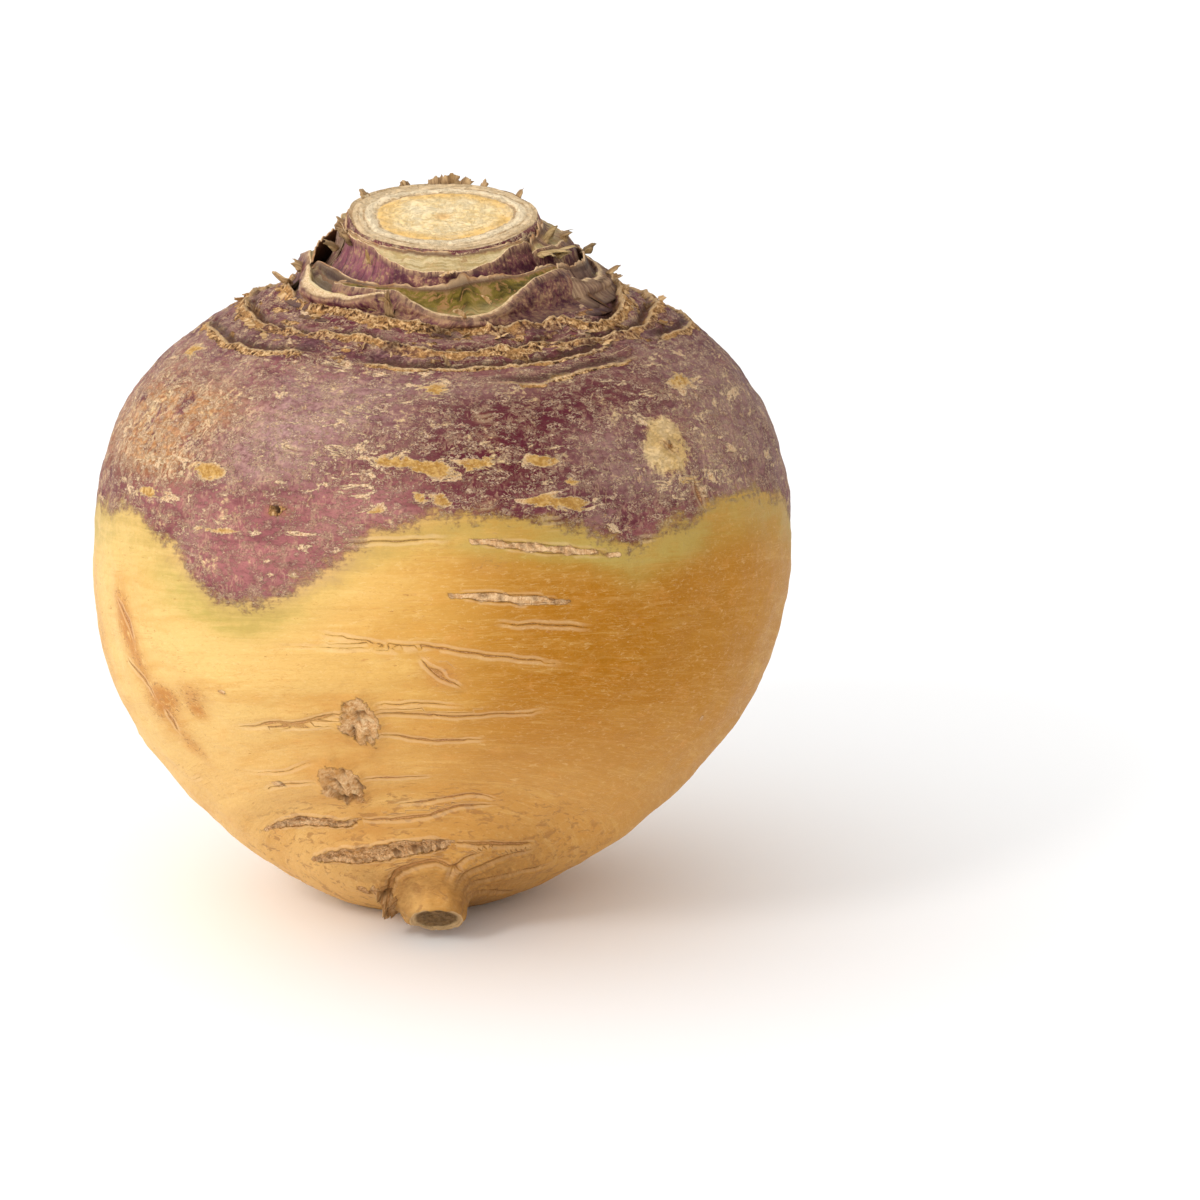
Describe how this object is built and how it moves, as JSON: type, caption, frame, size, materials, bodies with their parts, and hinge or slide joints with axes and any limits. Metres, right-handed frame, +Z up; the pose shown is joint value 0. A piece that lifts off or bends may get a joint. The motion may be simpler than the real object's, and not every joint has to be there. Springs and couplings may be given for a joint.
{
  "type": "rutabaga",
  "caption": "Whole rutabaga: purple shoulders over a yellow base, a trimmed neck wrapped in cut leaf stalks and a cut taproot stub. It rests on a small flat spot.",
  "frame": {"origin": "middle of the small flat spot on the underside, on which the root rests", "axes": "+Z up through the neck, -Y the front, towards which the taproot stub points, +X to the right seen from the front"},
  "size_m": [0.1206, 0.1204, 0.1222],
  "materials": {
    "root_skin": "waxy vegetable skin: dull purple with tan corky flecks above, yellow ochre with brown cracks below, cream cut flesh on top",
    "leaf_base_skin": "satin purple leaf-stalk skin with a green cut face and dry brown edges"
  },
  "bodies": {
    "root": {"root": "root_skin", "leaf_base_1": "leaf_base_skin", "leaf_base_2": "leaf_base_skin", "leaf_base_3": "leaf_base_skin", "leaf_base_4": "leaf_base_skin", "leaf_base_5": "leaf_base_skin", "leaf_base_6": "leaf_base_skin", "leaf_base_7": "leaf_base_skin", "leaf_base_8": "leaf_base_skin"}
  },
  "joints": []
}
